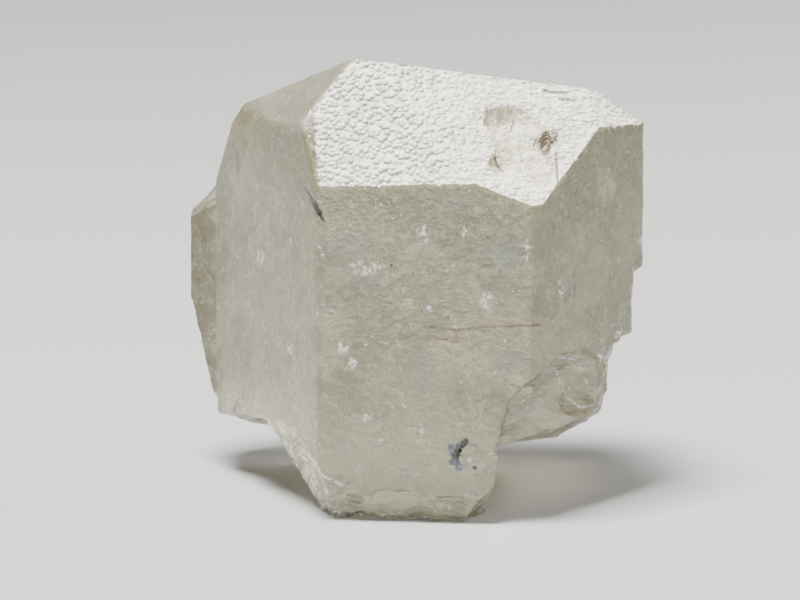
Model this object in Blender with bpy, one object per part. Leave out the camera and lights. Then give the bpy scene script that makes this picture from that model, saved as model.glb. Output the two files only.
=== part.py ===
"""Phenakite crystal: one short hexagonal prism with a broken foot, modelled in metres, +Z up.

The solid is what a crystal is to a mineralogist, a space closed by flat faces. Each face is a plane, given by the
way it looks (azimuth and elevation of its normal) and by its distance from the heart of the crystal. Azimuth 0
looks along -Y, to the front, and a positive azimuth turns to the right. The origin is below the middle of the
crystal, on the surface that it stands on.
"""

import math

import bmesh
import bpy
from mathutils import Vector

MM = 0.001
HEART = Vector((0.18, 0.15, 12.0)) * MM
ROUGH_BLOCK = 70.0 * MM
SCOOP_SUBDIVISIONS = 3
BROAD_SCOOP = 4.0 * MM
CRYSTAL_COLOUR = (0.68, 0.66, 0.57, 1.0)
CRYSTAL_ROUGHNESS = 0.35
CRYSTAL_IOR = 1.654
CRYSTAL_CLEARNESS = 0.35

# Flat faces: azimuth and elevation in degrees, distance from the heart in millimetres.
FACES = {
    "prism front": (-6, 0, 9.15),
    "prism left": (-66, 0, 8.20),
    "prism right": (54, 0, 10.82),
    "prism back": (174, 0, 8.80),
    "prism left back": (-126, 0, 11.00),
    "front edge bevel": (23, 0, 11.33),
    "white top": (-7, 30, 10.74),
    "white top right": (15, 43, 11.20),
    "grey top": (-73, 43, 11.33),
    "top right corner": (57, 38, 13.52),
    "top left corner": (-103, 23, 11.93),
    "top back": (162, 71, 8.90),
    "top back left": (-153, 71, 9.78),
    "crown corner": (115, 57, 11.81),
}

# Breaks that close the crystal below, where it came off its rock. A wall named inner, lid or back lies inside a
# neighbouring piece of the break, or hidden behind it, and only ends its own block.
BREAKS = {
    "shoulder wall": (112, 0, 10.21),
    "shoulder under": (80, -52, 7.43),
    "shoulder inner": (-80, 0, 0.60),
    "shoulder back": (175, -42, 11.20),
    "waist wall": (100, -1, 10.85),
    "waist under": (75, -60, 8.74),
    "waist inner": (-80, 0, 0.80),
    "waist back": (175, -42, 11.00),
    "hip wall": (95, -2, 10.20),
    "hip cheek": (55, -29, 11.31),
    "hip under right": (32, -74, 10.13),
    "hip under left": (-40, -72, 9.82),
    "hip corner": (63, -60, 11.44),
    "hip flank": (-92, -12, 13.16),
    "hip back": (175, -42, 11.40),
    "knob front": (24, -4, 9.82),
    "knob right": (97, -22, 10.50),
    "knob under": (60, -72, 10.38),
    "knob lid": (80, 30, 7.00),
    "knob corner": (62, -61, 11.46),
    "knob inner": (-80, 0, 1.00),
    "knob back": (172, -44, 10.80),
    "foot right": (95, -4, 3.98),
    "foot right corner": (60, -44, 13.05),
    "foot left": (-72, -19, 10.23),
    "foot left back": (-97, -50, 12.12),
    "foot toe": (-8, -32, 13.44),
    "foot heel": (172, -28, 10.60),
    "foot sole": (0, -90, 12.00),
    "side crystal front": (-46, 0, 5.03),
    "side crystal left": (-92, 0, 12.40),
    "side crystal top": (-80, 50, 8.44),
    "side crystal flank": (-92, -12, 12.76),
    "side crystal under": (-50, -60, 9.86),
    "side crystal back": (172, 0, 7.60),
    "side crystal left back": (-140, 0, 13.20),
    "side crystal back under": (168, -50, 9.00),
    "side crystal right": (112, 0, 2.60),
    "side crystal inner": (20, 0, 1.00),
    "side crystal lid": (151, 69, 8.20),
}

# Shell-like hollows of the breaks: the face they lie in, millimetres across and up from the foot of the
# perpendicular from the heart to that face, and the radius and depth of the hollow in millimetres.
SCOOPS = {
    "chip": ("white top right", 3.6, -0.5, 6.0, 0.42),
    "chip dish": ("white top right", 2.15, -1.5, 1.0, 0.50),
    "chip pit": ("white top right", 4.55, -0.2, 0.50, 0.66),
    "chip ledge": ("white top right", 2.9, 0.8, 1.6, 0.55),
    "foot dish": ("prism front", 3.65, -8.4, 1.15, 0.16),
    "toe notch": ("foot toe", 1.15, -5.6, 0.60, 0.32),
    "toe scallop left": ("foot toe", -2.3, -5.4, 1.6, 0.35),
    "toe scallop right": ("foot toe", 3.1, -4.9, 2.2, 0.30),
    "ridge scallop high": ("foot left", 2.9, -5.8, 1.8, 0.30),
    "ridge scallop low": ("foot left", 5.1, -6.6, 1.7, 0.30),
    "foot scallop": ("prism front", -3.3, -10.6, 1.6, 0.30),
    "knob hollow": ("knob front", 4.4, -4.6, 2.6, 0.35),
    "knob dish": ("knob front", 6.0, -3.0, 1.5, 0.30),
    "cheek hollow": ("hip cheek", -1.2, 1.3, 3.0, 0.45),
    "flank shell": ("prism left", -4.6, -9.0, 3.2, 0.35),
    "heel shell": ("foot heel", 1.0, 2.0, 8.0, 0.45),
    "back shell high": ("prism back", 3.5, 2.0, 14.0, 0.30),
    "back shell low": ("prism back", 5.5, -3.5, 6.0, 0.35),
    "crown shell": ("top back", 2.0, 2.0, 16.0, 0.30),
}

GROUPS = ("shoulder", "waist", "hip", "knob", "foot")


def planes_of(group):
    """Names of the breaks that bound one block."""
    return [name for name in BREAKS if name.startswith(group + " ")]


def normal_of(azimuth, elevation):
    """Unit normal of a face from the way it looks."""
    turn, rise = math.radians(azimuth), math.radians(elevation)
    return Vector((math.sin(turn) * math.cos(rise), -math.cos(turn) * math.cos(rise), math.sin(rise)))


def plane_of(name):
    """A point on a named face and its outward normal."""
    azimuth, elevation, distance = FACES[name] if name in FACES else BREAKS[name]
    normal = normal_of(azimuth, elevation)
    return HEART + normal * distance * MM, normal


def cut_block(name, planes):
    """A rough block, cut flat along each of the planes and closed again."""
    mesh = bpy.data.meshes.new(name)
    shape = bmesh.new()
    bmesh.ops.create_cube(shape, size=ROUGH_BLOCK)
    bmesh.ops.translate(shape, verts=shape.verts, vec=HEART)
    for plane in planes:
        point, normal = plane_of(plane)
        geometry = shape.verts[:] + shape.edges[:] + shape.faces[:]
        cut = bmesh.ops.bisect_plane(shape, geom=geometry, plane_co=point, plane_no=normal, clear_outer=True)
        rim = [item for item in cut["geom_cut"] if isinstance(item, bmesh.types.BMEdge)]
        if rim:
            bmesh.ops.contextual_create(shape, geom=rim)
    bmesh.ops.recalc_face_normals(shape, faces=shape.faces)
    shape.to_mesh(mesh)
    shape.free()
    block = bpy.data.objects.new(name, mesh)
    bpy.context.collection.objects.link(block)
    return block


def scoop_ball(name, face, across, up, radius, depth):
    """A ball that hollows a face to a given depth, as a shell-like break does."""
    foot, normal = plane_of(face)
    sideways = Vector((0, 0, 1)).cross(normal).normalized()
    upwards = normal.cross(sideways)
    centre = foot + (sideways * across + upwards * up + normal * (radius - depth)) * MM
    broad = radius * MM >= BROAD_SCOOP
    mesh = bpy.data.meshes.new(name)
    shape = bmesh.new()
    bmesh.ops.create_icosphere(shape, subdivisions=SCOOP_SUBDIVISIONS + broad, radius=radius * MM)
    bmesh.ops.translate(shape, verts=shape.verts, vec=centre)
    shape.to_mesh(mesh)
    shape.free()
    ball = bpy.data.objects.new(name, mesh)
    bpy.context.collection.objects.link(ball)
    return ball


def hide_tool(tool):
    """Marks an object as a tool of the boolean steps."""
    tool.hide_render = True
    tool.display_type = "WIRE"


def combine(target, tool, operation):
    """Adds a live boolean step of the tool to the target."""
    step = target.modifiers.new(tool.name, "BOOLEAN")
    step.operation = operation
    step.object = tool
    hide_tool(tool)


def milky_crystal():
    """Milky, see-through phenakite: almost colourless, with the refraction of the real mineral."""
    finish = bpy.data.materials.new("milky crystal")
    finish.use_nodes = True
    shader = finish.node_tree.nodes["Principled BSDF"]
    shader.inputs["Base Color"].default_value = CRYSTAL_COLOUR
    shader.inputs["Roughness"].default_value = CRYSTAL_ROUGHNESS
    shader.inputs["Metallic"].default_value = 0.0
    shader.inputs["IOR"].default_value = CRYSTAL_IOR
    shader.inputs["Transmission Weight"].default_value = CRYSTAL_CLEARNESS
    return finish


for leftover in list(bpy.data.objects):
    bpy.data.objects.remove(leftover)

crystal = cut_block("crystal", planes_of(GROUPS[0]))
for group in GROUPS[1:]:
    combine(crystal, cut_block(group, planes_of(group)), "UNION")
combine(crystal, cut_block("habit", list(FACES)), "INTERSECT")
combine(crystal, cut_block("side crystal", planes_of("side crystal")), "UNION")
for scoop, values in SCOOPS.items():
    combine(crystal, scoop_ball(scoop, *values), "DIFFERENCE")
crystal.data.materials.append(milky_crystal())
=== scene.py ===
"""A loose phenakite crystal: milky, flat-faced, with etched white top faces and a broken foot."""
# %% [markdown]
# The crystal is one natural solid. It grew with flat faces, and later its foot and its right side broke off. The
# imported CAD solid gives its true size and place, so the scene starts from it. All working lengths are millimetres
# and are turned into metres only where the mesh is made.
# %% Load the frame
import math

import bpy
import numpy as np
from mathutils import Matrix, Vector


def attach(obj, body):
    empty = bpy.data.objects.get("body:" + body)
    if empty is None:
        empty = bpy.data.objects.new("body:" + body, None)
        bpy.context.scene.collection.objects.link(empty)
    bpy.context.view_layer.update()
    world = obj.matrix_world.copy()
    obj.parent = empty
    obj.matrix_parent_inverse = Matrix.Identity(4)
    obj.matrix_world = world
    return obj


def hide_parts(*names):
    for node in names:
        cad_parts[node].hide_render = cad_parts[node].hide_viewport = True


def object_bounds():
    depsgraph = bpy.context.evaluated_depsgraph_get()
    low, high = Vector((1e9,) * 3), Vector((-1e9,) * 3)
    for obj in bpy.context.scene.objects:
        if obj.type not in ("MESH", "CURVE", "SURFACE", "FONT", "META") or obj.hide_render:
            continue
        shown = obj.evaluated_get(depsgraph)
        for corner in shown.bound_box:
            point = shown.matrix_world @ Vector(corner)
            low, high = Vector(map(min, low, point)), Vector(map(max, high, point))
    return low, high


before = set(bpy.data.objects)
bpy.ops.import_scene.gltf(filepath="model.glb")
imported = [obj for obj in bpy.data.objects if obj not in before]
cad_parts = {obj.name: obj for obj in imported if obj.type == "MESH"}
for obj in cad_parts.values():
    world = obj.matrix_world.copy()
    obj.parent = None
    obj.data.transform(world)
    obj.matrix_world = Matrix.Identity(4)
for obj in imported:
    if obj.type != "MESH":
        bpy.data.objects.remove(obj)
cad_low, cad_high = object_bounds()
MM = 0.001
print("CAD box, mm:", [round(c / MM, 2) for c in (*cad_low, *cad_high)])

# %% [markdown]
# A crystal face is a plane: the way it looks, and its distance from one inner point, the heart. The faces below are
# the ones that the crystal grew with. Azimuth 0 looks at the viewer and grows to the viewer's right, and elevation
# is the angle above the horizon. This short table says more than a sculpted mesh could, because it keeps every
# face truly flat and every edge truly straight.
# %% Faces that the crystal grew with
HEART = np.array([0.18, 0.15, 12.0])
FACES = {
    "prism front": (-6, 0, 9.15),
    "prism left": (-66, 0, 8.20),
    "prism right": (54, 0, 10.82),
    "prism back": (174, 0, 8.80),
    "prism left back": (-126, 0, 11.00),
    "front edge bevel": (23, 0, 11.33),
    "white top": (-7, 30, 10.74),
    "white top right": (15, 43, 11.20),
    "grey top": (-73, 43, 11.33),
    "top right corner": (57, 38, 13.52),
    "top left corner": (-103, 23, 11.93),
    "top back": (162, 71, 8.90),
    "top back left": (-153, 71, 9.78),
    "crown corner": (115, 57, 11.81),
}
print(len(FACES), "grown faces")

# %% [markdown]
# The broken side comes down in steps: a shoulder, a waist, a hip, a small knob and the foot. Each step is a block
# between a few planes, and the blocks together, cut back by the grown faces, are the main crystal. A slightly
# turned second crystal is grown into the left side, with narrow faces of its own.
# %% Planes of the broken side
BREAKS = {
    "shoulder wall": (112, 0, 10.21), "shoulder under": (80, -52, 7.43),
    "shoulder inner": (-80, 0, 0.60), "shoulder back": (175, -42, 11.20),
    "waist wall": (100, -1, 10.85), "waist under": (75, -60, 8.74),
    "waist inner": (-80, 0, 0.80), "waist back": (175, -42, 11.00),
    "hip wall": (95, -2, 10.20), "hip cheek": (55, -29, 11.31),
    "hip under right": (32, -74, 10.13), "hip under left": (-40, -72, 9.82),
    "hip flank": (-92, -12, 13.16), "hip back": (175, -42, 11.40),
    "hip corner": (63, -60, 11.44),
    "knob front": (24, -4, 9.82), "knob right": (97, -22, 10.50),
    "knob under": (60, -72, 10.38), "knob lid": (80, 30, 7.00),
    "knob inner": (-80, 0, 1.00), "knob back": (172, -44, 10.80),
    "knob corner": (62, -61, 11.46),
    "foot right": (95, -4, 3.98), "foot right corner": (60, -44, 13.05),
    "foot left": (-72, -19, 10.23), "foot left back": (-97, -50, 12.12),
    "foot toe": (-8, -32, 13.44), "foot heel": (172, -28, 10.60),
    "foot sole": (0, -90, 12.00),
    "side crystal front": (-46, 0, 5.03), "side crystal left": (-92, 0, 12.40),
    "side crystal top": (-80, 50, 8.44), "side crystal flank": (-92, -12, 12.76),
    "side crystal under": (-50, -60, 9.86), "side crystal back": (172, 0, 7.60),
    "side crystal left back": (-140, 0, 13.20), "side crystal back under": (168, -50, 9.00),
    "side crystal right": (112, 0, 2.60), "side crystal inner": (20, 0, 1.00),
    "side crystal lid": (151, 69, 8.20),
}
STEPS = ("shoulder", "waist", "hip", "knob", "foot")
print(len(BREAKS), "planes in", len(STEPS), "steps and the side crystal")

# %% [markdown]
# Phenakite breaks in shallow shells, like thick glass. Each shell is part of a ball that dips into a face: the chip
# and its pit in the white top, the notches of the toe and the broad hollows of the heel and the back. A shell is
# given by its face, its place across and up that face, the ball's radius and its depth. Small nicks along the broken
# outline and the top edge are balls too, given by centre and radius.
# %% Shell-like hollows
HOLLOWS = {
    "chip": ("white top right", 3.6, -0.5, 6.0, 0.42),
    "chip dish": ("white top right", 2.15, -1.5, 1.0, 0.50),
    "chip pit": ("white top right", 4.55, -0.2, 0.50, 0.66),
    "chip ledge": ("white top right", 2.9, 0.8, 1.6, 0.55),
    "foot dish": ("prism front", 3.65, -8.4, 1.15, 0.16),
    "toe notch": ("foot toe", 1.15, -5.6, 0.60, 0.32),
    "toe scallop left": ("foot toe", -2.3, -5.4, 1.6, 0.35),
    "toe scallop right": ("foot toe", 3.1, -4.9, 2.2, 0.30),
    "ridge scallop high": ("foot left", 2.9, -5.8, 1.8, 0.30),
    "ridge scallop low": ("foot left", 5.1, -6.6, 1.7, 0.30),
    "foot scallop": ("prism front", -3.3, -10.6, 1.6, 0.30),
    "knob hollow": ("knob front", 4.4, -4.6, 2.6, 0.35),
    "knob dish": ("knob front", 6.0, -3.0, 1.5, 0.30),
    "cheek hollow": ("hip cheek", -1.2, 1.3, 3.0, 0.45),
    "flank shell": ("prism left", -4.6, -9.0, 3.2, 0.35),
    "heel shell": ("foot heel", 1.0, 2.0, 8.0, 0.45),
    "back shell high": ("prism back", 3.5, 2.0, 14.0, 0.30),
    "back shell low": ("prism back", 5.5, -3.5, 6.0, 0.35),
    "crown shell": ("top back", 2.0, 2.0, 16.0, 0.30),
}


def normal_of(azimuth, elevation):
    """Outward direction: (sin a cos e, -cos a cos e, sin e)."""
    a, e = np.broadcast_arrays(np.radians(azimuth), np.radians(elevation))
    return np.stack([np.sin(a) * np.cos(e), -np.cos(a) * np.cos(e), np.sin(e)], axis=-1)


PLANES = {**FACES, **BREAKS}
NAMES = list(PLANES)
NORMALS = normal_of(*np.array([PLANES[n][:2] for n in NAMES], float).T)
DISTANCES = np.array([PLANES[n][2] for n in NAMES])


def ball_of(face, across, up, radius, depth):
    """Centre from the heart: foot of the face + across, up and (radius - depth) along its own axes."""
    n = NORMALS[NAMES.index(face)]
    sideways = np.cross([0.0, 0.0, 1.0], n)
    sideways /= np.linalg.norm(sideways)
    return n * (DISTANCES[NAMES.index(face)] + radius - depth) + sideways * across + np.cross(n, sideways) * up


NICKS = [
    ((0.20, -8.70, -0.75), 1.25), ((-2.60, -8.20, -1.35), 1.65), ((-4.95, -7.20, 0.10), 0.60),
    ((-6.30, -5.20, 0.50), 0.75), ((-7.30, -3.60, 1.45), 0.70), ((-8.60, -0.30, 2.55), 0.60),
    ((-9.40, 1.20, 3.05), 0.50), ((12.00, -2.60, 11.90), 0.50), ((11.10, -3.30, 8.25), 0.60),
    ((10.85, -2.60, 6.00), 0.60), ((10.30, -1.80, 4.10), 0.75), ((8.70, -1.20, 2.30), 0.80),
    ((7.20, -3.00, 2.60), 0.70), ((1.60, -8.90, -1.20), 1.45), ((4.85, -9.40, 1.70), 0.60),
    ((4.75, -9.30, 3.90), 0.50), ((-12.35, 5.60, 14.20), 0.60), ((-11.30, 6.20, 15.35), 0.55),
    ((4.10, -8.20, -0.45), 0.90), ((-4.00, -8.60, -0.05), 0.45), ((5.40, -9.60, 17.85), 0.55),
    ((2.20, -9.60, 18.15), 0.45), ((-3.10, -9.10, 18.00), 0.40), ((9.30, -5.60, 20.50), 0.50),
]
BALL_CENTRES = np.array([ball_of(*HOLLOWS[n]) for n in HOLLOWS] + [np.array(place) - HEART for place, _ in NICKS])
BALL_RADII = np.array([HOLLOWS[n][3] for n in HOLLOWS] + [radius for _, radius in NICKS])
print(len(HOLLOWS), "hollows,", len(NICKS), "nicks, the largest ball", BALL_RADII.max(), "mm")

# %% [markdown]
# Nothing natural is perfectly even. Three kinds of roughness are needed: soft swells, sharp little crests where the
# crystal broke, and round bumps where acid ate the top. They could be Displace modifiers, but these need textures
# of their own. Here a table of random numbers is read at each point, so one formula serves every point at once.
# %% Roughness from tables of random numbers
dice = np.random.default_rng(41)
TABLE = dice.uniform(-1, 1, (32, 32, 32))
JITTER = dice.uniform(0.12, 0.88, (32, 32, 32, 3))


def swell(points, size):
    """Smooth noise, -1 to 1: the eight table values round a point, weighted by 3t^2 - 2t^3 along each axis."""
    p = points / size + 11.3
    cell = np.floor(p).astype(int)
    t = p - cell
    t = t * t * (3 - 2 * t)
    total = 0.0
    for corner in np.ndindex(2, 2, 2):
        weight = np.prod(np.where(corner, t, 1 - t), axis=-1)
        total = total + weight * TABLE[tuple(((cell + corner) % 32)[..., k] for k in range(3))]
    return total


def layers(points, size, count):
    """Sum of swells, each half the size and half the height of the one before."""
    return sum(swell(points + 7.7 * k, size / 2**k) / 2**k for k in range(count))


def crests(points, size, count):
    """Sharp crests, 0 to about 1: one minus the absolute swell, squared, in ever finer layers."""
    return sum((1 - abs(swell(points - 5.1 * k, size / 2**k))) ** 2 / 2 ** (k + 1) for k in range(count))


def bumps(points, size):
    """Distances, in cells, from a point to the nearest and the second nearest of randomly placed seeds."""
    p = points / size + 3.9
    cell = np.floor(p).astype(int)
    near = np.full(p.shape[:-1], 9.0)
    second = near.copy()
    for step in np.ndindex(3, 3, 3):
        home = cell + np.array(step) - 1
        seed = home + JITTER[tuple((home % 32)[..., k] for k in range(3))]
        gap = np.linalg.norm(p - seed, axis=-1)
        second = np.minimum(second, np.maximum(near, gap))
        near = np.minimum(near, gap)
    return near, second


trial = dice.uniform(-9, 9, (2000, 3))
print("swell", np.ptp(swell(trial, 2)).round(2), "crests", crests(trial, 2, 3).mean().round(2))

# %% [markdown]
# Seen from its heart, every point of the surface lies in its own direction, so the whole crystal is one function:
# how far one can go in a given direction. Inside a convex block that is the nearest of its planes, where blocks are
# joined it is the farthest block, and a hollow stops it where the ray enters the ball. The boolean steps of a mesh
# editor do the same, but a function gives clean, even points that can carry relief.
# %% How far the crystal reaches in a direction
WAVER = np.array([0.02 if n in FACES else 0.26 for n in NAMES])
for name, depth in {"white top": 0.10, "white top right": 0.12, "side crystal front": 0.05, "foot sole": 0.0,
                    "side crystal left": 0.16, "top right corner": 0.06, "shoulder wall": 0.07, "foot toe": 0.5,
                    "foot left": 0.42, "knob front": 0.32, "hip cheek": 0.34, "side crystal top": 0.2}.items():
    WAVER[NAMES.index(name)] = depth
BALL_WAVER = np.array([{"chip": 0.34, "chip ledge": 0.26, "chip pit": 0.10, "knob hollow": 0.28,
                        "knob dish": 0.34, "cheek hollow": 0.30, "chip dish": 0.08}.get(n, 0.05) for n in HOLLOWS]
                      + [0.12] * len(NICKS))
GROUPS = [[k for k, n in enumerate(NAMES) if n in BREAKS and n.startswith(g + " ")] for g in STEPS]
HABIT = [k for k, n in enumerate(NAMES) if n in FACES]
SIDE = [k for k, n in enumerate(NAMES) if n.startswith("side crystal")]
WORN_AZIMUTH, SEAM_FILLET, NEVER = -32, 0.10, 1e3


def nearest(reach, members):
    """The nearest of some planes along each ray, and which one it is."""
    part = reach[..., members]
    best = part.argmin(-1)
    return np.take_along_axis(part, best[..., None], -1)[..., 0], np.array(members)[best]


def crystal(u):
    """Reach along unit directions u in mm, and the index of the face or, past the planes, of the hollow.

    A plane is reached at distance / (u . normal). Blocks are joined by the farthest reach and cut by the nearest.
    The edge between the left and front faces is worn: there the least reach is -wear log(sum exp(-reach / wear))."""
    slope = u @ NORMALS.T
    wave = layers(u * 11.5, 1.9, 4) / 1.5
    facing = slope > 1e-4
    reach = (DISTANCES - WAVER * (0.5 + 0.5 * wave[..., None])) / np.where(facing, slope, 1.0)
    reach = np.where(facing, reach, NEVER)
    far, face = nearest(reach, GROUPS[0])
    for group in GROUPS[1:]:
        r, k = nearest(reach, group)
        face, far = np.where(r > far, k, face), np.maximum(far, r)
    r, k = nearest(reach, HABIT)
    azimuth = np.degrees(np.arctan2(u[..., 0], -u[..., 1]))
    wear = 0.025 + 0.13 * np.exp(-(((azimuth - WORN_AZIMUTH) / 14) ** 2) - (u[..., 2] / 0.7) ** 4)
    r = r - wear * np.log(np.exp((r[..., None] - reach[..., HABIT]) / wear[..., None]).sum(-1))
    face, far = np.where(r < far, k, face), np.minimum(far, r)
    r, k = nearest(reach, SIDE)
    seam = SEAM_FILLET * np.log1p(np.exp(-abs(r - far) / SEAM_FILLET))
    face, far = np.where(r > far, k, face), np.maximum(far, r) + seam
    along = u @ BALL_CENTRES.T
    under_root = along**2 - (BALL_CENTRES**2).sum(-1) + (BALL_RADII - BALL_WAVER * wave[..., None]) ** 2
    entry = np.where((under_root > 0) & (along > 0), along - np.sqrt(np.maximum(under_root, 0)), NEVER)
    ball = entry.argmin(-1)
    entry = entry.min(-1)
    return np.minimum(far, entry), np.where(entry < far, len(NAMES) + ball, face)


axes_reach, axes_face = crystal(np.array([[0, -1.0, 0], [1.0, 0, 0], [0, 0, 1.0], [0, 0, -1.0]]))
print("reach to the front, right, top and sole:", axes_reach.round(2))

# %% [markdown]
# The surface is a grid of directions, like the lines of a globe. The lines stand closer together on the front,
# where the finest detail is. A plain globe would cut across the edges of the crystal and leave them ragged, so
# every point that has an edge passing close by is moved along its grid line onto that edge.
# %% Globe of directions, with its points moved onto the edges
COLUMNS, ROWS = 330, 300
turn = np.linspace(0, 2 * np.pi, COLUMNS, endpoint=False)
turn = turn - 0.36 * np.sin(turn)
rise = np.linspace(-np.pi / 2, np.pi / 2, ROWS + 1)[1:-1]
rise = rise - 0.06 * np.sin(2 * rise)
directions = normal_of(np.degrees(turn)[None, :], np.degrees(rise)[:, None])
_, face_at = crystal(directions)


def unit(v):
    """Same directions at length one."""
    return v / np.linalg.norm(v, axis=-1, keepdims=True)


def crossing(start, end, face, rounds=11):
    """Share of the way from start to end where the face changes, found by halving."""
    low, high = np.zeros(len(start)), np.ones(len(start))
    for _ in range(rounds):
        middle = (low + high) / 2
        same = crystal(unit(start + (end - start) * middle[:, None]))[1] == face
        low, high = np.where(same, middle, low), np.where(same, high, middle)
    return (low + high) / 2


snapped = directions.copy()
closest = np.full(face_at.shape, 0.5)
for axis, step in ((1, -1), (1, 1), (0, -1), (0, 1)):
    other = np.roll(directions, step, axis)
    changed = np.roll(face_at, step, axis) != face_at
    if axis == 0:
        changed[0 if step == 1 else -1] = False
    share = np.full(face_at.shape, 1.0)
    share[changed] = crossing(directions[changed], other[changed], face_at[changed])
    better = share < closest
    closest[better] = share[better]
    snapped[better] = unit(directions + (other - directions) * share[..., None])[better]
reach, _ = crystal(snapped)
print((closest < 0.5).sum(), "of", closest.size, "points moved onto an edge")

# %% [markdown]
# Four points make a small square, and a square is two triangles. Where an edge of the crystal runs through the
# square from corner to corner, the wrong diagonal would cut it off, so both are tried and the one that lies closer
# to the true surface is kept. Two fans of triangles close the globe at the top and in the sole.
# %% Triangles
points = snapped * reach[..., None]
number = np.arange(points.shape[0] * COLUMNS).reshape(points.shape[0], COLUMNS)
a, b = number[:-1], np.roll(number, -1, 1)[:-1]
d, c = number[1:], np.roll(number, -1, 1)[1:]
flat = points.reshape(-1, 3)


def misfit(first, second):
    """Distance between the middle of a diagonal and the surface in the same direction."""
    middle = (flat[first] + flat[second]) / 2
    return abs(np.linalg.norm(middle, axis=-1) - crystal(unit(middle))[0])


cut_ac = misfit(a, c) <= misfit(b, d)
ones = np.where(cut_ac[..., None], np.stack([a, b, c], -1), np.stack([a, b, d], -1)).reshape(-1, 3)
twos = np.where(cut_ac[..., None], np.stack([a, c, d], -1), np.stack([b, c, d], -1)).reshape(-1, 3)
top, sole = len(flat), len(flat) + 1
rim_low, rim_high = number[0], number[-1]
fans = np.concatenate([
    np.stack([np.full(COLUMNS, sole), np.roll(rim_low, -1), rim_low], -1),
    np.stack([np.full(COLUMNS, top), rim_high, np.roll(rim_high, -1)], -1),
])
poles = np.array([[0, 0, 1.0], [0, 0, -1.0]])
flat = np.concatenate([flat, poles * crystal(poles)[0][:, None]])
triangles = np.concatenate([ones, twos, fans])
_, triangle_face = crystal(unit(flat[triangles].mean(1)))
print(len(triangles), "triangles,", len(flat), "points")

# %% [markdown]
# Acid once etched the two front top faces into a white, bumpy skin, like orange peel. The broken places have crests
# and steps, and the prism faces are nearly flat with faint swells and a few shallow pits. Each kind of relief is
# pushed in along the ray from the heart, only where its kind of face is, and fades over one grid step at the edges.
# %% Relief by kind of face
SMOOTH, ETCHED, BROKEN, STAINED, CHIPPED = range(5)
KIND = np.full(len(NAMES) + len(BALL_RADII), BROKEN)
KIND[:len(NAMES) + len(HOLLOWS)] = SMOOTH
for k, name in enumerate(NAMES + list(HOLLOWS)):
    if name in ("white top", "white top right", "top right corner"):
        KIND[k] = ETCHED
    elif name in ("side crystal front", "side crystal left"):
        KIND[k] = STAINED
    elif name.startswith("chip"):
        KIND[k] = CHIPPED
    elif name in HOLLOWS or (name in BREAKS and name != "foot sole"):
        KIND[k] = BROKEN
triangle_kind = KIND[triangle_face]

ETCH_LOW, ETCH_HIGH = np.array([-4.88, -8.48, 17.55]), np.array([-5.16, -6.78, 20.42])
ETCH_SIDE = unit(np.cross(ETCH_HIGH - ETCH_LOW, NORMALS[NAMES.index("white top")]))
past_line = (flat[triangles].mean(1) + HEART - ETCH_LOW) @ ETCH_SIDE
triangle_kind[(triangle_kind == ETCHED) & (past_line < 0)] = SMOOTH


def share_of(kind):
    """For each point, the share of its triangles that are of one kind, between 0 and 1."""
    total, hits = np.zeros(len(flat)), np.zeros(len(flat))
    np.add.at(total, triangles.ravel(), 1.0)
    np.add.at(hits, triangles.ravel(), np.repeat(triangle_kind == kind, 3).astype(float))
    return hits / total


etched, broken, chipped = share_of(ETCHED), share_of(BROKEN), share_of(CHIPPED)
near, second = bumps(flat, 0.50)
peel = 0.11 * near**2 + 0.12 * (0.5 + 0.5 * layers(flat, 1.9, 3) / 1.75)
fracture = 0.20 * (1 - crests(flat * np.array([1.0, 1.0, 1.5]), 2.2, 3)) + 0.09 * (1 - crests(flat, 0.7, 2))
crumbs = 0.34 * (1 - crests(flat, 1.3, 3)) + 0.10 * bumps(flat, 0.5)[0]
pits = np.clip(0.16 - bumps(flat, 1.1)[0], 0, 1) / 0.16
growth = 0.016 * (0.5 + 0.5 * layers(flat, 1.3, 3) / 1.75) + 0.03 * pits
depth = etched * peel + broken * fracture + chipped * crumbs + (1 - etched - broken - chipped) * growth
depth[flat[:, 2] < 0.02 - HEART[2]] = 0.0
length = np.linalg.norm(flat, axis=1)
skin = flat * ((length - depth) / length)[:, None] + HEART
skin = np.clip(skin * MM, np.array(cad_low), np.array(cad_high))
print("relief up to", depth.max().round(3), "mm")

# %% [markdown]
# The points and triangles become one Blender mesh. The kind of each triangle is kept as an attribute, so the finish
# can follow the faces exactly. Edges steeper than 27 degrees stay sharp, all others shade smoothly.
# %% The crystal's mesh
mesh = bpy.data.meshes.new("crystal_skin")
mesh.from_pydata(skin.tolist(), [], triangles.tolist())
mesh.update()
for name, kind in (("etched", ETCHED), ("broken", BROKEN), ("stained", STAINED), ("chipped", CHIPPED)):
    mark = mesh.attributes.new(name, "FLOAT", "FACE")
    mark.data.foreach_set("value", (triangle_kind == kind).astype(np.float32))
mesh.polygons.foreach_set("use_smooth", np.ones(len(triangles), bool))
mesh.set_sharp_from_angle(angle=math.radians(27))
stone = bpy.data.objects.new("crystal_skin", mesh)
bpy.context.scene.collection.objects.link(stone)
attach(stone, "root")
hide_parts("crystal")
print("open edges:", 3 * len(triangles) - 2 * len(mesh.edges))

# %% [markdown]
# A finish is a small calculation at every point of the surface. The class below lets that calculation be written
# like ordinary maths: each plus or times adds a Math node. Colours and directions have their own nodes.
# %% Shader maths written as expressions
PLAIN = {"+": "ADD", "-": "SUBTRACT", "*": "MULTIPLY", "<": "MINIMUM", ">": "MAXIMUM"}


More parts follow.
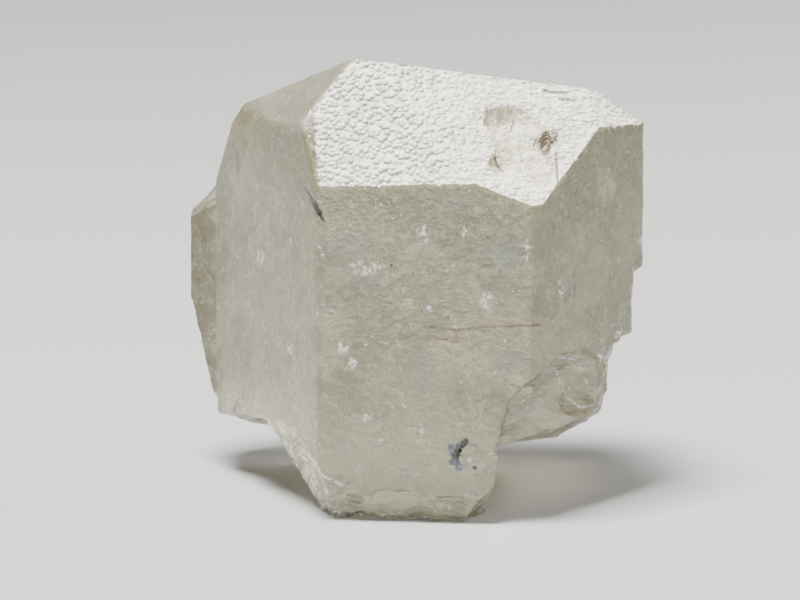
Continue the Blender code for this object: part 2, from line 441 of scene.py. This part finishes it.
class Wire:
    """One socket of the finish's node tree, with maths on it."""

    tree = None

    def __init__(self, socket):
        self.socket = socket

    @classmethod
    def node(cls, kind, settings=None, sockets=None, out=0):
        """Adds a node: its settings first, then its sockets by name or number. Returns one output."""
        made = cls.tree.nodes.new("ShaderNode" + kind)
        for key, value in (settings or {}).items():
            setattr(made, key, value)
        for key, value in (sockets or {}).items():
            if isinstance(value, Wire):
                cls.tree.links.new(value.socket, made.inputs[key])
            else:
                made.inputs[key].default_value = value
        return cls(made.outputs[out])

    def maths(self, sign, other, swap=False):
        """One Math node on this value and another."""
        pair = (other, self) if swap else (self, other)
        return Wire.node("Math", {"operation": PLAIN[sign]}, dict(enumerate(pair)))

    def __add__(self, other):
        return self.maths("+", other)

    def __sub__(self, other):
        return self.maths("-", other)

    def __mul__(self, other):
        return self.maths("*", other)

    def __rsub__(self, other):
        return self.maths("-", other, swap=True)

    __radd__, __rmul__ = __add__, __mul__


def vector(operation, first, second=(0.0, 0.0, 0.0), scale=None, out=0):
    """One Vector Math node."""
    sockets = {0: first} if scale is None else {0: first, "Scale": scale}
    if scale is None and operation != "LENGTH":
        sockets[1] = second
    return Wire.node("VectorMath", {"operation": operation}, sockets, out)


def step_up(value, low, high):
    """0 below low, 1 above high, and a smooth 3t^2 - 2t^3 between. With low above high it falls instead."""
    return Wire.node("MapRange", {"interpolation_type": "SMOOTHSTEP"},
                     {"Value": value, "From Min": low, "From Max": high, "To Min": 0.0, "To Max": 1.0})


def mix(mask, under, over):
    """Colour under where the mask is 0, over where it is 1. The mask is held between 0 and 1."""
    node = Wire.tree.nodes.new("ShaderNodeMix")
    node.data_type = "RGBA"
    for socket, value in ((node.inputs[0], mask), (node.inputs[6], under), (node.inputs[7], over)):
        if isinstance(value, Wire):
            Wire.tree.links.new(value.socket, socket)
        elif isinstance(value, tuple):
            socket.default_value = (*value, 1.0)
        else:
            socket.default_value = value
    return Wire(node.outputs[2])


def noise(place, size, detail=3.0, rough=0.55, warp=0.0):
    """Noise value about 0 to 1, with the size of its swells in mm."""
    return Wire.node("TexNoise", None, {"Vector": place, "Scale": 1 / size, "Detail": detail,
                                        "Roughness": rough, "Distortion": warp}, "Fac")


def seeds(place, size, out="Distance"):
    """Voronoi cells of a size in mm: the distance to the nearest seed, or a random colour for each cell."""
    return Wire.node("TexVoronoi", None, {"Vector": place, "Scale": 1 / size}, out)


milk = bpy.data.materials.new("milky_crystal")
milk.use_nodes = True
Wire.tree = milk.node_tree
surface = milk.node_tree.nodes["Principled BSDF"]
place = vector("SCALE", Wire.node("TexCoord", out="Object"), scale=1 / MM)
print("finish works in millimetres")

# %% [markdown]
# Inside a milky crystal lie veils, small cracks and grains, and through the skin they look like marks. They are kept
# as short lists in millimetres: lines for the dark needle, the hair-thin cracks and the painted glints, spots for
# grains and for the painted flashes. A line is drawn by its distance from each of its stretches, so it stays crisp
# however close one looks.
# %% Lines and spots under the skin
SHALLOW = (1.0, 0.03, 1.0)
pressed = vector("MULTIPLY", place, SHALLOW)


def line(points, width, place=pressed):
    """1 on a thin line through the points, 0 off it: distance to each stretch, the least of them, cut at width.

    Depth counts only a little, so relief under the line doesn't hide it."""
    least = None
    points = [tuple(c * s for c, s in zip(point, SHALLOW)) for point in points]
    for start, end in zip(points[:-1], points[1:]):
        along = tuple(e - s for s, e in zip(start, end))
        square = sum(c * c for c in along)
        from_start = vector("SUBTRACT", place, start)
        dot = vector("DOT_PRODUCT", from_start, along, out="Value")
        share = Wire.node("Clamp", None, {"Value": dot * (1 / square)})
        foot = vector("SCALE", along, scale=share)
        gap = vector("DISTANCE", from_start, foot, out="Value")
        least = gap if least is None else least.maths("<", gap)
    return step_up(least, width, width * 0.35)


def spot(centre, size, soft=0.6):
    """1 inside an upright oval of the half-sizes in mm, 0 outside, with a soft rim."""
    inside = vector("DIVIDE", vector("SUBTRACT", place, centre), size)
    return step_up(vector("LENGTH", inside, out="Value"), 1.0, 1.0 - soft)


def any_of(masks):
    """The strongest of several masks."""
    best = masks[0]
    for mask in masks[1:]:
        best = best.maths(">", mask)
    return best


print("depth counts", SHALLOW[1], "for lines")

# %% [markdown]
# These are the marks of this crystal. Lines are rows of points. Spots are a centre and the half-sizes of an oval.
# Veils are greyer clouds and patches are paler ones, but one veil is painted shade and one patch a painted highlight.
# %% Marks of the front, in millimetres
NEEDLE_THIN = [(-5.52, -7.21, 17.09), (-5.09, -8.17, 16.63)]
NEEDLE_THICK = [(-5.13, -8.17, 16.60), (-4.73, -8.53, 15.96)]
NEEDLE_TIP = [(-4.73, -8.53, 15.96), (-4.55, -8.53, 15.60)]
HAIRS = [
    [(0.84, -9.11, 10.25), (2.21, -9.25, 10.12), (3.37, -9.37, 10.30), (6.40, -9.62, 10.45)],
    [(0.59, -9.09, 9.84), (2.11, -9.24, 9.50)],
    [(2.15, -9.25, 10.14), (2.21, -9.25, 9.50)],
]
CRACKS = [
    [(6.41, -9.66, 7.88), (5.56, -9.60, 7.25), (4.90, -9.54, 6.57), (4.55, -9.49, 5.16), (4.45, -9.48, 4.22)],
    [(7.24, -7.19, 18.84), (7.31, -8.44, 17.54)],
    [(4.90, -9.54, 7.39), (5.41, -9.59, 7.20), (6.10, -9.63, 7.35)],
    [(6.64, -4.54, 21.76), (7.10, -4.55, 21.61), (7.82, -4.40, 21.59)],
    [(7.50, -4.73, 21.32), (8.33, -4.63, 21.21)],
    [(5.12, -6.39, 20.26), (4.96, -6.87, 19.82)],
    [(4.13, -8.19, 18.68), (4.22, -8.51, 18.32), (4.52, -8.75, 17.99)],
    [(-9.29, 1.28, 17.6), (-9.25, 1.20, 16.6)],
]
FAINT = [[(-7.48, -2.8, 8.4), (-7.10, -3.65, 6.45), (-6.00, -6.12, 4.99), (-4.92, -8.51, 4.64)]]
GRAINS = [
    ((3.13, -9.35, 3.00), (0.24, 0.8, 0.20)), ((2.06, -9.24, 5.26), (0.11, 0.6, 0.28)),
    ((-3.41, -7.98, 0.36), (0.16, 0.6, 0.12)), ((0.25, -9.0, 15.9), (0.10, 0.5, 0.10)),
    ((-0.9, -9.0, 16.0), (0.16, 0.5, 0.10)), ((6.07, -7.47, 5.11), (0.14, 0.6, 0.12)),
    ((-1.1, -8.9, 13.4), (0.14, 0.5, 0.14)),
]
INCLUSION = [(2.67, -9.30, 4.39), (2.42, -9.28, 4.07), (2.17, -9.24, 3.65)]
BLUE_CROSS = [[(1.91, -9.22, 4.06), (2.32, -9.27, 2.98)], [(2.32, -9.26, 4.17), (1.96, -9.22, 3.28)]]
PIT_STAIN = [((6.70, -6.45, 19.20), (0.42, 1.6, 0.75)), ((6.95, -6.20, 19.60), (0.62, 1.6, 0.60))]
# Flashes and glints are painted highlights: near-white spots and lines where inner cracks would mirror the lamps.
FLASHES = [
    ((-2.40, -8.76, 13.23), (1.15, 0.8, 0.50)), ((3.67, -9.40, 11.70), (0.42, 0.8, 0.55)),
    ((0.48, -9.06, 15.10), (0.45, 0.8, 0.75)), ((2.60, -9.29, 15.27), (0.18, 0.8, 0.75)),
    ((-3.58, -8.65, 9.08), (0.45, 0.8, 0.40)), ((-3.13, -8.69, 8.31), (0.40, 0.8, 0.35)),
    ((0.84, -9.12, 11.23), (0.30, 0.8, 0.25)), ((-8.01, -1.59, 12.58), (0.45, 0.8, 0.60)),
    ((7.55, -8.10, 12.09), (0.30, 0.8, 0.60)), ((5.73, -9.54, 14.29), (0.16, 0.8, 0.70)),
    ((-5.40, -6.50, 3.00), (1.40, 1.5, 0.45)), ((-2.40, -8.70, 5.60), (0.40, 0.8, 0.40)),
    ((-6.20, -5.00, 8.40), (0.60, 1.2, 0.50)), ((10.60, -4.20, 8.90), (0.30, 0.9, 0.30)),
]
GLINTS = [
    (0.15, (7.36, -8.37, 8.41), (8.43, -6.89, 7.87)),
    (0.17, (7.31, -8.43, 7.54), (7.89, -6.73, 6.0), (8.57, -6.38, 5.41), (9.48, -5.44, 5.38)),
    (0.12, (8.43, -6.89, 7.87), (8.95, -6.1, 6.6)), (0.10, (6.1, -9.2, 5.9), (6.9, -8.6, 7.2)),
    (0.08, (3.55, -9.38, 11.9), (3.70, -9.38, 11.3)), (0.08, (3.95, -9.42, 12.0), (4.0, -9.42, 11.5)),
    (0.08, (5.75, -9.55, 14.8), (5.72, -9.55, 13.6)), (0.08, (2.62, -9.29, 15.7), (2.55, -9.29, 14.9)),
    (0.12, (6.5, -9.4, 6.9), (6.9, -8.9, 6.7)), (0.10, (-3.3, -8.68, 8.6), (-2.9, -8.7, 8.5)),
    (0.20, (-6.8, -4.25, 3.76), (-6.25, -4.84, 2.82), (-4.93, -8.50, 2.55), (-3.6, -8.65, 1.85)),
]
VEILS = [
    ((4.52, -9.51, 14.13), (1.1, 1.0, 1.3)), ((-3.21, -8.68, 14.30), (1.5, 1.0, 0.8)),
    ((2.35, -9.26, 16.54), (0.9, 1.0, 0.6)), ((4.95, -9.50, 8.60), (1.5, 1.0, 1.0)),
    ((-2.3, -8.75, 12.5), (1.2, 1.0, 0.6)), ((3.14, -9.35, 1.75), (0.8, 1.0, 0.45)),
    ((1.9, -9.2, 1.75), (0.4, 1.0, 0.5)), ((0.6, -9.1, 8.0), (0.7, 1.0, 2.0)),
    # The middle veil of the next row, under the lower-left ridge, is painted shade on the break there.
    ((8.3, -6.9, 5.5), (0.7, 2.5, 0.5)), ((-5.5, -6.3, 1.5), (1.3, 3.0, 0.8)), ((6.6, -8.0, 6.0), (0.8, 2.5, 0.6)),
]
PATCHES = [
    ((9.95, -4.80, 16.80), (0.9, 1.6, 1.1)), ((11.75, -2.3, 13.7), (0.5, 0.9, 0.9)),
    ((2.88, -9.30, 3.75), (0.60, 2.0, 0.70)), ((7.6, -7.6, 6.9), (0.8, 2.5, 0.7)),
    # The next patch is a painted highlight on the small bumps along the lower edge of the upper left top face.
    ((-6.6, -2.6, 20.1), (2.6, 3.0, 0.35)),
]
print("marks:", len(HAIRS) + len(CRACKS) + len(GLINTS), "thin lines,", len(GRAINS) + len(FLASHES), "spots")

# %% [markdown]
# Six kinds of noise are shared by all colours and bumps, from clouds of several millimetres to a fine grit. Where
# a layer follows a kind of face, it reads that kind from the mesh.
# %% Noise that the whole finish shares
is_etched, is_broken, is_stained, is_chipped = (
    Wire.node("Attribute", {"attribute_name": kind}, out="Fac") for kind in ("etched", "broken", "stained", "chipped"))
axes = Wire.node("SeparateXYZ", None, {"Vector": place}).socket.node.outputs
across, up = Wire(axes["X"]), Wire(axes["Z"])
clouds = noise(place, 4.2, 2.0, 0.6, 0.2)
wisps = noise(place, 1.3, 4.0, 0.68, 0.15)
mottle = noise(place, 0.42, 3.0, 0.68)
grit = noise(place, 0.16, 1.0, 0.7)
streaks = noise(vector("MULTIPLY", place, (1.0, 1.0, 0.12)), 0.35, 2.0, 0.6)
drawn = noise(vector("MULTIPLY", place, (0.45, 1.0, 1.9)), 0.34, 2.0, 0.65)
print("nodes so far:", len(milk.node_tree.nodes))

# %% [markdown]
# The body is milky and faintly yellow, with cloudy lighter and greyer zones. It is darker and more olive below the
# top faces and paler near the foot. Colours are mixed in this order, so each later layer lies over those before.
# %% Colour of the body
colour = mix(step_up(clouds, 0.38, 0.64), (0.23, 0.212, 0.122), (0.36, 0.335, 0.205))
colour = mix(step_up(wisps, 0.49, 0.66) * 0.50, colour, (0.58, 0.55, 0.385))
colour = mix(step_up(wisps, 0.47, 0.33) * 0.70, colour, (0.19, 0.185, 0.125))
colour = mix(step_up(up, 14.0, 18.4) * step_up(up, 20.2, 19.4) * 0.55, colour, (0.26, 0.235, 0.115))
colour = mix(step_up(streaks, 0.56, 0.74) * 0.28, colour, (0.24, 0.215, 0.125))
colour = mix(step_up(mottle, 0.53, 0.66) * 0.32, colour, (0.72, 0.69, 0.50))
colour = mix(step_up(mottle, 0.46, 0.34) * 0.30, colour, (0.18, 0.17, 0.115))
# Veils: greyer clouds, one of them painted shade.
veils = any_of([spot(*v, soft=0.9) for v in VEILS]) * step_up(mottle, 0.32, 0.54)
colour = mix(veils * 0.70, colour, (0.25, 0.28, 0.26))
# Patches: paler clouds, one of them a painted highlight.
patches = any_of([spot(*p, soft=0.9) for p in PATCHES]) * step_up(mottle, 0.40, 0.60)
colour = mix(patches * 0.7, colour, (0.92, 0.88, 0.74))
colour = mix(step_up(up, 19.6, 20.3) * 0.60, colour, (0.70, 0.675, 0.53))
colour = mix(step_up(up, 7.5, 2.0) * 0.60, colour, (0.66, 0.62, 0.44))
print("nodes so far:", len(milk.node_tree.nodes))

# %% [markdown]
# Fresh breaks are paler. This is partly their own colour and partly painted light that lifts the shade on the breaks
# under the hip. Their small flats are painted lighter and darker cell by cell, as painted highlight and painted shade.
# The acid-etched top is nearly white, with cream tints and, towards the right, darker streaks. The chip is full of
# cream crumbs, and the narrow side faces carry an old brown stain in cloudy patches and small grains.
# %% Colour of breaks, etched skin, chip and stain
cells = seeds(vector("MULTIPLY", place, (1.0, 1.0, 1.5)), 1.1, "Color")
painted_facet_shading = Wire.node("SeparateXYZ", None, {"Vector": cells}) + (mottle - 0.5) * 0.8
# Paler breaks: their own paler colour, plus painted light against the shade under the hip.
colour = mix(is_broken * 0.60, colour, (0.80, 0.76, 0.57))
# Painted highlight and painted shade on the small flats of the breaks, one cell at a time.
colour = mix(is_broken * step_up(painted_facet_shading, 0.55, 0.75) * 0.40, colour, (0.86, 0.84, 0.70))
colour = mix(is_broken * step_up(painted_facet_shading, 0.38, 0.20) * 0.35, colour, (0.20, 0.19, 0.13))
rightwards = step_up(across + wisps * 3, 0.5, 6.0)
white = mix(step_up(mottle, 0.38, 0.60), (0.66, 0.64, 0.54), (0.97, 0.95, 0.83))
white = mix(step_up(clouds, 0.46, 0.60) * 0.55, white, (0.93, 0.88, 0.70))
white = mix(rightwards * step_up(drawn, 0.50, 0.38) * 0.6, white, (0.50, 0.46, 0.33))
from_line = vector("SUBTRACT", place, tuple(ETCH_LOW))
beyond_line = vector("DOT_PRODUCT", from_line, tuple(ETCH_SIDE), out="Value") + (mottle - 0.5) * 0.5
etched_skin = is_etched * step_up(beyond_line, -0.1, 0.25)
colour = mix(etched_skin, colour, white)
crust = mix(step_up(mottle, 0.40, 0.62), (0.70, 0.63, 0.44), (0.97, 0.93, 0.78))
colour = mix(is_chipped * 0.9, colour, crust)
stain = is_stained * step_up(noise(place, 0.9, 3.0, 0.7), 0.32, 0.54)
colour = mix(stain * 0.90, colour, (0.105, 0.090, 0.042))
stain_grains = is_stained * step_up(seeds(place, 0.30), 0.30, 0.12) * step_up(wisps, 0.38, 0.55)
colour = mix(stain_grains * 0.9, colour, (0.12, 0.08, 0.04))
specks = step_up(seeds(place, 0.50), 0.16, 0.07) * step_up(clouds, 0.54, 0.64) * (1 - is_etched * 0.8)
colour = mix(specks * 0.55, colour, (0.10, 0.08, 0.05))
print("nodes so far:", len(milk.node_tree.nodes))

# %% [markdown]
# Small cracks inside the crystal act as mirrors and flash white. They lie under the surface, so here the flashes,
# sparkles and glints are painted highlights: near-white colour with a faint painted glow of its own, in place of the
# mirrors. Dark lines and grains come last, over all else.
# %% Flashes, glints and dark marks
flash_grain = step_up(noise(vector("MULTIPLY", place, (1.1, 1.0, 0.8)), 0.20, 2.0, 0.6), 0.46, 0.56)
flash = any_of([spot(*f) for f in FLASHES]) * step_up(mottle, 0.38, 0.52) * flash_grain
# Painted sparkles: small near-white specks, gathered in swarms.
sparkle_noise = noise(vector("MULTIPLY", place, (0.8, 1.0, 1.25)), 0.24, 2.0, 0.5)
swarms = noise(vector("ADD", place, (5.0, 3.0, 1.0)), 1.5, 1.0, 0.6)
twinkle = step_up(sparkle_noise, 0.63, 0.71) * step_up(swarms, 0.53, 0.62) * (1 - is_etched)
glint = any_of([line(g, w * 0.6) for w, *g in GLINTS]) * step_up(mottle, 0.42, 0.58) * 0.8
bright = any_of([flash, twinkle * 0.75, glint])
# Painted highlights: flashes, sparkles and glints turn the colour near-white.
colour = mix(bright * 0.9, colour, (0.97, 0.98, 0.95))
hairs = any_of([line(h, 0.11) for h in HAIRS]) * step_up(grit, 0.22, 0.42) * 0.85
colour = mix(hairs, colour, (0.09, 0.04, 0.018))
pit_stain = any_of([spot(*p, soft=0.45) for p in PIT_STAIN]) * step_up(mottle, 0.36, 0.52)
colour = mix(pit_stain, colour, (0.10, 0.075, 0.04))
cross = any_of([line(b, 0.30) for b in BLUE_CROSS]) * step_up(grit, 0.20, 0.45)
colour = mix(cross, colour, (0.045, 0.055, 0.075))
dark_lines = any_of([
    line(NEEDLE_THIN, 0.11), line(NEEDLE_THICK, 0.24), line(NEEDLE_TIP, 0.15), line(INCLUSION, 0.30),
    *[line(c, 0.10) * 0.8 for c in CRACKS], *[line(f, 0.12) * 0.22 for f in FAINT]])
grains = any_of([spot(*g) for g in GRAINS]) * step_up(grit, 0.34, 0.50)
dark = any_of([dark_lines * step_up(grit, 0.22, 0.42), grains])
colour = mix(dark, colour, (0.018, 0.014, 0.008))
# Painted glow: the same marks give off light through Emission Color.
shine = mix(bright, (0.0, 0.0, 0.0), (0.9, 0.95, 0.95))
print("nodes so far:", len(milk.node_tree.nodes))

# %% [markdown]
# Roughness and a fine bump tell the etched skin, the satin faces and the glassy breaks apart. The larger relief is
# in the mesh already, so the bump only adds what is finer than its triangles.
# %% Roughness and bump
gloss = 0.13 + is_etched * 0.33 - is_broken * 0.06 + is_chipped * 0.2 + step_up(wisps, 0.35, 0.65) * 0.16
orange_peel = (1 - rightwards * 0.65) * step_up(seeds(place, 0.27), 0.80, 0.05)
etched_bump = orange_peel * 1.6 + (rightwards + 0.4) * drawn * 1.6 + grit * 0.3
break_bump = noise(vector("MULTIPLY", place, (1.0, 1.0, 2.2)), 0.8, 2.0, 0.62) * 2.0
chip_bump = mottle * 2.2 + grit
satin_bump = mottle * 0.75 + wisps * 0.6 + grit * 0.10
plain_share = 1 - is_etched - is_broken - is_chipped
height = is_etched * etched_bump + is_broken * break_bump + is_chipped * chip_bump + plain_share * satin_bump
bump = Wire.node("Bump", None, {"Height": height, "Distance": 0.00012, "Strength": 1.0})
print("nodes so far:", len(milk.node_tree.nodes))

# %% [markdown]
# Light enters a milky crystal, scatters at tiny cavities and comes out again a little way off, and some of it passes
# right through. Principled BSDF has both, as subsurface and as transmission, with the refraction of phenakite. The
# etched skin, the stain and the dark marks let no light through, so a second, opaque shader lies over the first one
# there, and a Mix Shader chooses between them.
# %% Clear body and opaque skin
PHENAKITE_IOR = 1.654
body_settings = {
    "IOR": PHENAKITE_IOR, "Transmission Weight": 0.72, "Subsurface Weight": 0.70,
    "Subsurface Radius": (1.0, 0.95, 0.8), "Subsurface Scale": 0.0014, "Emission Strength": 0.30,
}
for name, value in body_settings.items():
    surface.inputs[name].default_value = value
# Emission Color carries the painted glow of the flashes and glints, so they shine faintly though no lamp is there.
for name, wire in (("Base Color", colour), ("Roughness", gloss), ("Normal", bump), ("Emission Color", shine)):
    Wire.tree.links.new(wire.socket, surface.inputs[name])
opaque_skin = Wire.node("BsdfPrincipled", None, {"Base Color": colour, "Roughness": gloss, "Normal": bump,
                                                 "IOR": PHENAKITE_IOR}, "BSDF")
opaque = any_of([etched_skin * 0.8, is_chipped * 0.7, stain * 0.6, stain_grains, specks * 0.6,
                 hairs, pit_stain, cross, dark])
both = Wire.node("MixShader", None, {0: opaque, 1: Wire(surface.outputs[0]), 2: opaque_skin})
Wire.tree.links.new(both.socket, milk.node_tree.nodes["Material Output"].inputs["Surface"])
mesh.materials.append(milk)
print("finish nodes:", len(milk.node_tree.nodes))

# %% [markdown]
# The photograph looks slightly down on the crystal from close in front. A long lens from a quarter of a metre gives
# that flat, calm view. The picture is 800 pixels wide, and the lens makes a millimetre 19 of them.
# %% Camera
AIM = Vector((0.18, 0.15, 10.45)) * MM
DISTANCE, ELEVATION, PIXELS_PER_MM, PICTURE_WIDTH = 0.250, math.radians(10), 19.0, 800
view_back = Vector((0, -math.cos(ELEVATION), math.sin(ELEVATION)))
lens = bpy.data.cameras.new("camera")
lens.sensor_width = 36.0
lens.lens = PIXELS_PER_MM * lens.sensor_width * DISTANCE / MM / PICTURE_WIDTH
lens.shift_x, lens.shift_y = -17 / PICTURE_WIDTH, -8.5 / PICTURE_WIDTH
lens.clip_start, lens.clip_end = 0.01, 10.0
camera = bpy.data.objects.new("camera", lens)
camera.location = AIM + view_back * DISTANCE
camera.rotation_euler = view_back.to_track_quat("Z", "Y").to_euler()
bpy.context.scene.collection.objects.link(camera)
bpy.context.scene.camera = camera
print("lens:", round(lens.lens, 2), "mm")

# %% [markdown]
# The crystal stands on a plain pale floor. A soft lamp above gives the bright top and the soft fall of light down
# the front. A weaker one fills from the front, and a third behind to the right lights the rim.
# %% Floor and lamps
floor_mesh = bpy.data.meshes.new("floor")
floor_mesh.from_pydata([(-2, -2, 0), (2, -2, 0), (2, 2, 0), (-2, 2, 0)], [], [(0, 1, 2, 3)])
floor = bpy.data.objects.new("floor", floor_mesh)
bpy.context.scene.collection.objects.link(floor)
paper = bpy.data.materials.new("pale_paper")
paper.use_nodes = True
paper_surface = paper.node_tree.nodes["Principled BSDF"]
paper_surface.inputs["Base Color"].default_value = (0.36, 0.36, 0.355, 1)
paper_surface.inputs["Roughness"].default_value = 0.9
floor_mesh.materials.append(paper)


def lamp(name, place, size, watts, colour=(1.0, 1.0, 1.0)):
    """A square soft lamp, in metres and watts, turned towards the crystal."""
    light = bpy.data.lights.new(name, "AREA")
    light.size, light.energy, light.color = size, watts, colour
    holder = bpy.data.objects.new(name, light)
    holder.location = place
    holder.rotation_euler = (Vector(place) - AIM).to_track_quat("Z", "Y").to_euler()
    bpy.context.scene.collection.objects.link(holder)


lamp("top lamp", (-0.06, -0.07, 0.38), 0.13, 6.6)
lamp("front lamp", (-0.10, -0.50, 0.10), 0.20, 0.95)
lamp("rim lamp", (0.26, 0.22, 0.16), 0.12, 1.2, (1.0, 0.95, 0.93))
world = bpy.data.worlds.new("studio")
world.use_nodes = True
world.node_tree.nodes["Background"].inputs["Color"].default_value = (0.80, 0.81, 0.82, 1)
world.node_tree.nodes["Background"].inputs["Strength"].default_value = 0.22
bpy.context.scene.world = world
